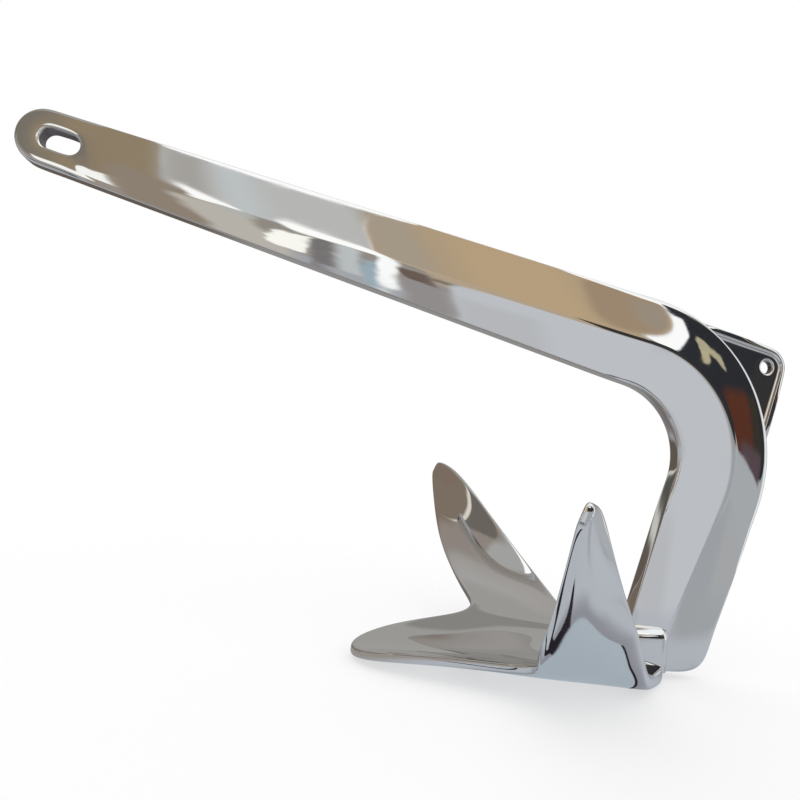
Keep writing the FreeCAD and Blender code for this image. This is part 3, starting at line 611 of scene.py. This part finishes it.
def steel():
    """Mirror-polished stainless with faint polishing marks; rougher inside the slot and the hole, with
    painted shade darkening the base colour there.
    """
    material = bpy.data.materials.new("polished_steel")
    material.use_nodes = True
    tree = Nodes(material.node_tree)
    shader = tree.nodes["Principled BSDF"]
    shader.inputs["Metallic"].default_value = 1.0
    place = tree.add("ShaderNodeTexCoord").outputs["Object"]
    polish = tree.add("ShaderNodeGroup", node_tree=polish_group())
    tree.feed(polish.inputs["Vector"], place)
    polish.inputs["Cloud size"].default_value = CLOUD_SIZE
    polish.inputs["Mark size"].default_value = MARK_SIZE

    recess = recess_group()
    walls = []
    for centre, slope, length, radius, depth in (
            (SLOT_CENTRE, SLOT_SLOPE, SLOT_LENGTH, SLOT_WIDTH / 2, EYE_HALF - SLOT_ROUND),
            (EAR, 0.0, HOLE_RADIUS * 2, HOLE_RADIUS, EAR_HALF - EAR_RECESS - HOLE_ROUND)):
        centred = tree.add("ShaderNodeMapping", vector_type="TEXTURE")
        centred.inputs["Location"].default_value = spot(centre)
        centred.inputs["Rotation"].default_value = (0.0, math.radians(-slope), 0.0)
        tree.feed(centred.inputs["Vector"], place)
        wall = tree.add("ShaderNodeGroup", node_tree=recess)
        tree.feed(wall.inputs["Vector"], centred.outputs["Vector"])
        for name, size in (("Half length", length / 2 - radius), ("Radius", radius + WALL_MARGIN),
                           ("Depth", depth), ("Softness", WALL_SOFTNESS)):
            wall.inputs[name].default_value = size * MM
        walls.append(wall.outputs["Mask"])
    shaded_rough_walls = tree.value("MAXIMUM", *walls)
    # Painted shade: the base colour goes dark on the walls of the slot and the hole, which are also
    # rougher
    tree.feed(shader.inputs["Base Color"], tree.mixed(shaded_rough_walls, STEEL_TINT, WALL_SHADE_TINT))
    buffed = tree.smooth_step(polish.outputs["Buffing"], 0.0, 1.0, POLISHED, BUFFED)
    tree.feed(shader.inputs["Roughness"], tree.value(
        "MAXIMUM", buffed, tree.value("MULTIPLY", shaded_rough_walls, WALL_ROUGHNESS)))
    bump = tree.add("ShaderNodeBump")
    bump.inputs["Distance"].default_value = WAVINESS * MM
    tree.feed(bump.inputs["Height"], polish.outputs["Height"])
    tree.feed(shader.inputs["Normal"], bump.outputs["Normal"])
    return material


casting.data.materials.clear()
casting.data.materials.append(steel())
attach(casting, "root")
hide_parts("anchor")


# Floor

def shown(red, green, blue):
    """Light that the steel shows as this colour, written from 0 to 255 as on a screen."""
    light = []
    for value, tint in zip((red, green, blue), STEEL_TINT):
        level = value / 255
        linear = level / 12.92 if level < 0.04045 else ((level + 0.055) / 1.055) ** 2.4
        light.append(linear / tint)
    return light


FLOOR_GLOW = 0.55                       # share of the floor's white that no shadow takes away
FLOOR_SEEN = (1 - FLOOR_GLOW,) * 3
MIRRORED_GLOW = 3.0                     # how much more the floor glows in the steel than it is lit
FLOOR_HALF = 2.0                        # metres
FLOOR_FADE = (0.34, 0.6)                # metres from the middle
FLOOR_ROUGHNESS = 0.6
FLOOR_IN_STEEL, FLOOR_DUSK, FLOOR_PATCH, FLOOR_LINES, FLOOR_GREY, FLOOR_WARM, FLOOR_DIM = (
    [light / (1 + MIRRORED_GLOW) for light in shown(*colour)]
    for colour in ((174, 179, 186), (140, 141, 149), (167, 177, 185), (38, 35, 40), (157, 160, 163),
                   (146, 140, 134), (108, 104, 102)))
# What the near claw mirrors of the table: a paler patch with a bite out of it, whose edge is a dark line,
# and two dark seams. All in metres: a ring is its centre and radius, a line its half widths where it
# fades, an end the places along X where it fades, an edge how far it fades across.
PATCH_RING = ((0.143, -0.022), 0.080)
PATCH_EDGE = (0.0006, -0.0006)
BITE_RING = ((0.220, -0.051), 0.059)
BITE_LINE = (0.0016, 0.0006)
BITE_EDGE = (0.0, -0.001)
SEAM_RING = ((0.063, -0.284), 0.1935)
SEAM_LINE = (0.0046, 0.0034)
SEAM_END = (0.195, 0.180)
EDGE_RING = ((0.194, -0.200), 0.140)
EDGE_LINE = (0.0085, 0.0060)
EDGE_END = (0.120, 0.110)
DUSK_FADE = (0.03, 0.0)
# Shade beside the leg, under the shank and on the far side, each from where it starts to where it is full
LEG_SLANT = 0.7
LEG_SHADE = (0.19, 0.23)
LEG_NEAR = (-0.065, -0.11)
SHANK_SHADE = (0.02, -0.05)
FAR_SHADE = (0.06, 0.14)


def floor_paint():
    """Pale floor that runs out into the white of the backdrop, so that only the soft shadow shows."""
    material = bpy.data.materials.new("pale_floor")
    material.use_nodes = True
    tree = Nodes(material.node_tree)
    shader, output = tree.nodes["Principled BSDF"], tree.nodes["Material Output"]
    shader.inputs["Roughness"].default_value = FLOOR_ROUGHNESS
    shader.inputs["Specular IOR Level"].default_value = 0.0
    camera_ray = tree.add("ShaderNodeLightPath").outputs["Is Camera Ray"]
    tree.feed(shader.inputs["Emission Strength"], tree.smooth_step(
        camera_ray, 0.0, 1.0, MIRRORED_GLOW, FLOOR_GLOW))
    place = tree.add("ShaderNodeTexCoord").outputs["Object"]
    part = tree.add("ShaderNodeSeparateXYZ")
    tree.feed(part.inputs["Vector"], place)

    def from_ring(centre, radius):
        """Distance outside a ring on the floor."""
        apart = tree.add("ShaderNodeVectorMath", operation="DISTANCE")
        tree.feed(apart.inputs[0], place)
        apart.inputs[1].default_value = (*centre, 0.0)
        return tree.value("SUBTRACT", apart.outputs["Value"], radius)

    bite = from_ring(*BITE_RING)
    past = from_ring(*PATCH_RING)
    outside = tree.value("MAXIMUM", past, tree.value("MULTIPLY", bite, -1.0))
    mirrored = tree.mixed(tree.smooth_step(outside, *DUSK_FADE), FLOOR_IN_STEEL, FLOOR_DUSK)
    for ring, line, end in ((SEAM_RING, SEAM_LINE, SEAM_END), (EDGE_RING, EDGE_LINE, EDGE_END)):
        seam = tree.smooth_step(tree.value("ABSOLUTE", from_ring(*ring)), *line)
        seam = tree.value("MULTIPLY", seam, tree.smooth_step(part.outputs["X"], *end))
        mirrored = tree.mixed(seam, mirrored, FLOOR_LINES)
    mirrored = tree.mixed(tree.smooth_step(outside, *PATCH_EDGE), mirrored, FLOOR_PATCH)
    line = tree.smooth_step(tree.value("ABSOLUTE", bite), *BITE_LINE)
    line = tree.value("MULTIPLY", line, tree.smooth_step(past, *BITE_EDGE))
    mirrored = tree.mixed(line, mirrored, FLOOR_LINES)
    slant = tree.value("ADD", part.outputs["X"], tree.value("MULTIPLY", part.outputs["Y"], LEG_SLANT))
    beside = tree.value("MULTIPLY", tree.smooth_step(slant, *LEG_SHADE),
                        tree.smooth_step(part.outputs["Y"], *LEG_NEAR))
    mirrored = tree.mixed(beside, mirrored, FLOOR_GREY)
    mirrored = tree.mixed(tree.smooth_step(part.outputs["X"], *SHANK_SHADE), mirrored, FLOOR_WARM)
    mirrored = tree.mixed(tree.smooth_step(part.outputs["Y"], *FAR_SHADE), mirrored, FLOOR_DIM)
    tree.feed(shader.inputs["Base Color"], tree.mixed(camera_ray, mirrored, FLOOR_SEEN))
    tree.feed(shader.inputs["Emission Color"], tree.mixed(camera_ray, mirrored, (1.0, 1.0, 1.0)))
    reach = tree.add("ShaderNodeVectorMath", operation="LENGTH")
    tree.feed(reach.inputs[0], place)
    clear, blend = tree.add("ShaderNodeBsdfTransparent"), tree.add("ShaderNodeMixShader")
    tree.feed(blend.inputs["Fac"], tree.smooth_step(reach.outputs["Value"], *FLOOR_FADE))
    tree.feed(blend.inputs[1], shader.outputs["BSDF"])
    tree.feed(blend.inputs[2], clear.outputs["BSDF"])
    tree.feed(output.inputs["Surface"], blend.outputs["Shader"])
    return material


bm = bmesh.new()
bmesh.ops.create_grid(bm, x_segments=1, y_segments=1, size=FLOOR_HALF)
floor = finish_mesh(bm, "floor", levels=0)
floor.data.materials.append(floor_paint())


# World: what polished steel mirrors, set up as cards round the table. An azimuth is counted from the
# camera's side (0) towards the bend (90) and the far side (180), an elevation from the horizon.
ROOM = (                                # elevation, colour as the steel shows it
    (-90.0, (150, 153, 158)),
    (-30.0, (166, 170, 175)),
    (-2.0, (160, 163, 167)),
    (2.0, (146, 141, 134)),
    (30.0, (132, 125, 117)),
    (50.0, (148, 143, 138)),
    (90.0, (162, 160, 158)),
)
# Azimuth, elevation, half width, half height, corner, softness, lean, tilt, ragged edge, colour as the
# steel shows it. The lean moves a card's azimuth for each degree upwards, the tilt its elevation for
# each degree along. A later card covers the earlier ones.
CARDS = (
    # far and side walls and what stands before them
    (140.0, 40.0, 45.0, 40.0, 20.0, 12.0, 0.0, 0.0, 0.0, (152, 151, 148)),
    (150.0, 48.0, 9.5, 7.0, 3.0, 1.6, 0.0, 0.0, 0.0, (132, 130, 127)),
    (-62.0, 40.0, 34.0, 24.0, 10.0, 8.0, 0.0, 0.0, 0.0, (139, 131, 124)),
    (-86.0, 24.0, 19.0, 15.0, 8.0, 5.0, 0.0, 0.0, 0.0, (121, 107, 95)),
    (-50.0, 27.5, 17.0, 10.5, 5.0, 1.5, 0.0, 0.0, 0.6, (104, 99, 92)),
    (-70.5, 27.0, 9.6, 10.0, 9.3, 0.7, 0.0, 0.0, 0.0, (212, 208, 198)),
    (-74.2, 26.5, 9.6, 10.4, 9.4, 1.2, 0.0, 0.0, 0.0, (122, 109, 97)),
    (-24.0, 48.0, 13.0, 9.0, 5.0, 3.0, 0.0, 0.0, 0.0, (160, 161, 159)),
    (74.0, 10.0, 15.0, 26.0, 6.0, 4.0, 0.0, 0.0, 0.0, (228, 230, 232)),
    (178.0, -14.0, 26.0, 12.0, 5.0, 4.0, 0.0, 0.0, 0.0, (136, 134, 133)),
    (-135.0, -3.0, 32.0, 12.0, 4.0, 3.0, 0.0, 0.0, 0.0, (92, 84, 77)),
    (-135.0, 8.4, 30.0, 1.2, 1.0, 0.7, 0.0, 0.0, 0.0, (190, 189, 183)),
    (-135.0, 14.0, 30.0, 4.0, 2.0, 1.5, 0.0, 0.0, 0.0, (80, 80, 76)),
    # table edge on the near side, and the dim part over it
    (0.0, -29.0, 62.0, 13.0, 6.0, 5.0, 0.0, 0.0, 0.0, (92, 88, 87)),
    (-26.0, 8.0, 8.0, 9.0, 3.0, 3.0, 0.0, 0.0, 0.0, (150, 140, 131)),
    # upper part: curtain, pale wall and board
    (-23.0, 25.0, 12.0, 11.0, 2.0, 1.0, 0.0, 0.0, 0.0, (141, 126, 103)),
    (-27.0, 22.0, 6.0, 10.0, 2.0, 4.0, 0.0, 0.0, 0.0, (116, 111, 103)),
    (-3.5, 30.0, 9.3, 14.0, 1.0, 0.4, 0.09, 0.0, 0.0, (181, 182, 180)),
    (-11.0, 27.0, 1.9, 10.0, 1.0, 1.6, 0.09, 0.0, 0.0, (163, 160, 155)),
    (-7.0, 27.0, 1.6, 12.0, 1.0, 2.0, 0.0, 0.0, 0.0, (187, 192, 193)),
    (26.0, 46.0, 23.0, 14.5, 4.0, 1.5, 0.0, 0.0, 0.0, (252, 249, 244)),
    (34.2, 22.5, 4.2, 9.5, 1.0, 0.4, 0.0, 0.0, 0.5, (250, 251, 250)),
    (17.0, 21.0, 12.7, 14.3, 12.2, 0.25, 0.0, 0.0, 0.0, (214, 210, 202)),
    (26.7, 25.5, 9.0, 5.8, 4.3, 0.3, 0.0, 0.0, 0.0, (186, 178, 168)),
    (17.1, 21.0, 12.45, 13.9, 12.0, 0.25, 0.0, 0.0, 0.0, (171, 152, 126)),
    (26.6, 25.4, 8.7, 5.5, 4.0, 0.3, 0.0, 0.0, 0.0, (171, 152, 126)),
    (7.5, 24.0, 2.6, 8.0, 2.0, 1.6, 0.0, 0.0, 0.0, (163, 151, 134)),
    (19.5, 22.0, 6.0, 9.0, 3.0, 3.0, 0.0, 0.0, 0.0, (181, 158, 125)),
    (30.5, 25.0, 4.4, 5.2, 3.0, 0.8, 0.2, 0.0, 0.0, (155, 135, 111)),
    (32.5, 24.5, 2.0, 3.6, 2.0, 1.2, 0.2, 0.0, 0.0, (151, 140, 124)),
    (16.0, 9.0, 9.3, 6.6, 2.0, 0.4, 0.0, 0.0, 0.0, (176, 158, 134)),
    # bright strips over and under the pale wall
    (-1.0, 44.0, 12.2, 15.1, 0.5, 0.15, 0.0, 0.11, 0.0, (251, 252, 251)),
    (-10.4, 16.8, 2.6, 1.9, 1.2, 0.5, 0.0, -0.15, 0.0, (250, 250, 248)),
    (0.3, 15.0, 4.8, 5.0, 2.0, 0.6, 0.0, 0.0, 0.0, (252, 252, 250)),
    # lower part, from the eye towards the bend
    (-20.6, 11.2, 2.8, 3.6, 0.8, 0.4, 0.0, 0.0, 0.0, (243, 244, 240)),
    (-14.9, 8.0, 2.9, 10.0, 1.0, 0.6, 0.0, 0.0, 0.5, (140, 128, 114)),
    (-9.6, 6.0, 2.8, 8.5, 1.0, 0.9, -0.15, 0.0, 0.6, (182, 177, 168)),
    (-8.6, 13.5, 1.6, 2.2, 1.0, 0.8, 0.0, 0.0, 0.0, (176, 177, 172)),
    (-5.0, 5.0, 1.7, 4.6, 0.8, 0.3, 0.18, 0.0, 1.1, (248, 247, 240)),
    (-2.4, 3.5, 1.1, 6.0, 0.8, 0.5, 0.12, 0.0, 0.6, (116, 113, 113)),
    (-0.2, 4.0, 1.1, 6.5, 0.8, 0.6, 0.08, 0.0, 0.6, (184, 189, 190)),
    (1.4, 1.0, 0.8, 5.0, 0.7, 0.6, 0.08, 0.0, 0.8, (150, 168, 178)),
    (3.0, 3.0, 0.9, 7.0, 0.8, 0.4, 0.1, 0.0, 0.5, (249, 251, 250)),
    (6.6, -2.5, 2.9, 5.5, 1.0, 0.8, 0.0, 0.0, 0.6, (144, 140, 139)),
    (5.6, 3.9, 1.3, 1.6, 0.4, 0.25, -0.1, -0.35, 0.3, (104, 90, 83)),
    (8.0, 4.1, 1.3, 0.4, 0.3, 0.3, 0.0, -0.3, 0.2, (112, 104, 98)),
    # table top and its shaded end
    (17.5, -6.5, 9.2, 9.2, 1.0, 0.5, 0.0, -0.17, 0.0, (187, 190, 194)),
    (12.0, -8.0, 3.5, 8.0, 1.0, 1.6, 0.0, -0.17, 0.0, (180, 182, 185)),
    (36.5, -10.0, 11.5, 11.5, 1.0, 1.0, 0.1, 0.0, 0.0, (155, 158, 162)),
    (53.0, -12.0, 6.5, 13.0, 2.0, 1.5, 0.0, -0.3, 0.0, (162, 164, 166)),
    # shade over the table and doorway beyond the bend
    (32.0, 8.4, 10.8, 6.0, 1.5, 0.4, 0.0, 0.0, 0.0, (50, 49, 50)),
    (48.2, 13.0, 9.8, 15.0, 3.0, 0.4, 0.0, 0.0, 0.5, (42, 43, 47)),
    (39.6, 27.6, 3.4, 3.2, 1.5, 0.4, 0.2, -0.2, 0.3, (44, 45, 49)),
    (38.0, 15.4, 5.0, 5.0, 1.0, 0.4, 0.0, 1.0, 0.3, (43, 44, 48)),
    (40.9, 18.2, 1.0, 2.2, 0.8, 0.3, 0.1, 0.0, 0.9, (176, 168, 138)),
    (42.6, 18.4, 2.7, 1.1, 0.6, 0.3, 0.0, -0.7, 0.9, (170, 163, 136)),
    (47.6, 7.0, 3.6, 5.2, 1.5, 1.4, -0.1, 0.0, 0.0, (84, 48, 36)),
    (53.0, 6.5, 1.6, 5.5, 1.2, 1.2, -0.1, 0.0, 0.0, (52, 50, 42)),
    (51.0, 0.0, 3.6, 3.2, 1.0, 1.0, 0.0, -0.3, 0.0, (82, 69, 74)),
    (49.5, -3.4, 6.5, 4.0, 0.5, 0.4, 0.0, -0.7, 0.3, (163, 166, 169)),
    (40.5, -1.5, 3.2, 4.3, 0.5, 0.4, 0.0, 0.0, 0.3, (166, 169, 172)),
    # lamps beyond the bend
    (85.0, 47.5, 44.0, 12.0, 4.0, 2.0, 0.0, 0.0, 0.0, (236, 240, 242)),
)
RAG_SCALE = 28.0
RAG_DETAIL = 2.0


def card_group():
    """Mask of a soft-edged card seen in a direction, all in degrees."""
    names = ("Azimuth", "Elevation", "Noise", "Card azimuth", "Card elevation", "Half width",
             "Half height", "Corner", "Softness", "Lean", "Tilt", "Ragged")
    group, tree, given, result = new_group("card", names, ("Mask",))
    across = tree.value("WRAP", tree.value(
        "SUBTRACT", given["Azimuth"], given["Card azimuth"]), -180.0, 180.0)
    upwards = tree.value("SUBTRACT", given["Elevation"], given["Card elevation"])
    leaned = tree.value("SUBTRACT", across, tree.value("MULTIPLY", upwards, given["Lean"]))
    tilted = tree.value("SUBTRACT", upwards, tree.value("MULTIPLY", across, given["Tilt"]))
    past = [tree.value("ADD", tree.value("SUBTRACT", tree.value("ABSOLUTE", offset), half),
                       given["Corner"])
            for offset, half in ((leaned, given["Half width"]), (tilted, given["Half height"]))]
    outside = [tree.value("MAXIMUM", gap, 0.0) for gap in past]
    corner = tree.value("SQRT", tree.value("ADD", *(tree.value("MULTIPLY", gap, gap) for gap in outside)))
    within = tree.value("MINIMUM", tree.value("MAXIMUM", *past), 0.0)
    distance = tree.value("SUBTRACT", tree.value("ADD", corner, within), given["Corner"])
    ragged = tree.value("ADD", distance, tree.value("MULTIPLY", given["Noise"], given["Ragged"]))
    tree.feed(result["Mask"], tree.smooth_step(
        ragged, given["Softness"], tree.value("MULTIPLY", given["Softness"], -1.0)))
    return group


def make_world():
    """White backdrop for the camera, plain soft light, and the cards for what mirrors."""
    world = bpy.data.worlds.new("studio")
    world.use_nodes = True
    tree = Nodes(world.node_tree)
    tree.nodes.clear()
    direction = tree.add("ShaderNodeTexCoord").outputs["Generated"]
    part = tree.add("ShaderNodeSeparateXYZ")
    tree.feed(part.inputs["Vector"], direction)
    azimuth = tree.value("DEGREES", tree.value(
        "ARCTAN2", part.outputs["X"], tree.value("MULTIPLY", part.outputs["Y"], -1.0)))
    elevation = tree.value("DEGREES", tree.value("ARCSINE", part.outputs["Z"]))
    noise = tree.add("ShaderNodeTexNoise")
    noise.inputs["Scale"].default_value = RAG_SCALE
    noise.inputs["Detail"].default_value = RAG_DETAIL
    tree.feed(noise.inputs["Vector"], direction)
    rag = tree.value("MULTIPLY", tree.value("SUBTRACT", noise.outputs["Fac"], 0.5), 2.0)

    ramp = tree.add("ShaderNodeValToRGB")
    tree.feed(ramp.inputs["Fac"], tree.value("DIVIDE", tree.value("ADD", elevation, 90.0), 180.0))
    stops = ramp.color_ramp.elements
    while len(stops) < len(ROOM):
        stops.new(0.5)
    for stop, (height, colour) in zip(stops, ROOM):
        stop.position = (height + 90) / 180
        stop.color = (*shown(*colour), 1.0)
    seen = ramp.outputs["Color"]
    group = card_group()
    for *places, colour in CARDS:
        card = tree.add("ShaderNodeGroup", node_tree=group)
        for socket, source in zip(card.inputs, (azimuth, elevation, rag, *places)):
            tree.feed(socket, source)
        seen = tree.mixed(card.outputs["Mask"], seen, shown(*colour))

    plain, mirrored = tree.add("ShaderNodeBackground"), tree.add("ShaderNodeBackground")
    plain.inputs["Color"].default_value = (1.0, 1.0, 1.0, 1.0)
    tree.feed(mirrored.inputs["Color"], seen)
    choice, output = tree.add("ShaderNodeMixShader"), tree.add("ShaderNodeOutputWorld")
    tree.feed(choice.inputs["Fac"], tree.add("ShaderNodeLightPath").outputs["Is Glossy Ray"])
    tree.feed(choice.inputs[1], plain.outputs["Background"])
    tree.feed(choice.inputs[2], mirrored.outputs["Background"])
    tree.feed(output.inputs["Surface"], choice.outputs["Shader"])
    return world


bpy.context.scene.world = make_world()

# Camera: millimetres for the lens, metres and degrees for its place
SENSOR_WIDTH = 36.0
LENS = 31.05
CLIP_START = 0.01
CAMERA_PLACE = (-0.07844, -0.486, 0.15669)
CAMERA_TURN = (92.946, -5.992, -8.287)
camera_data = bpy.data.cameras.new("camera")
camera_data.sensor_width = SENSOR_WIDTH
camera_data.lens = LENS
camera_data.clip_start = CLIP_START
camera = bpy.data.objects.new("camera", camera_data)
camera.location = CAMERA_PLACE
camera.rotation_euler = Euler([math.radians(angle) for angle in CAMERA_TURN])
bpy.context.scene.collection.objects.link(camera)
bpy.context.scene.camera = camera
bpy.context.scene.view_settings.view_transform = "Standard"
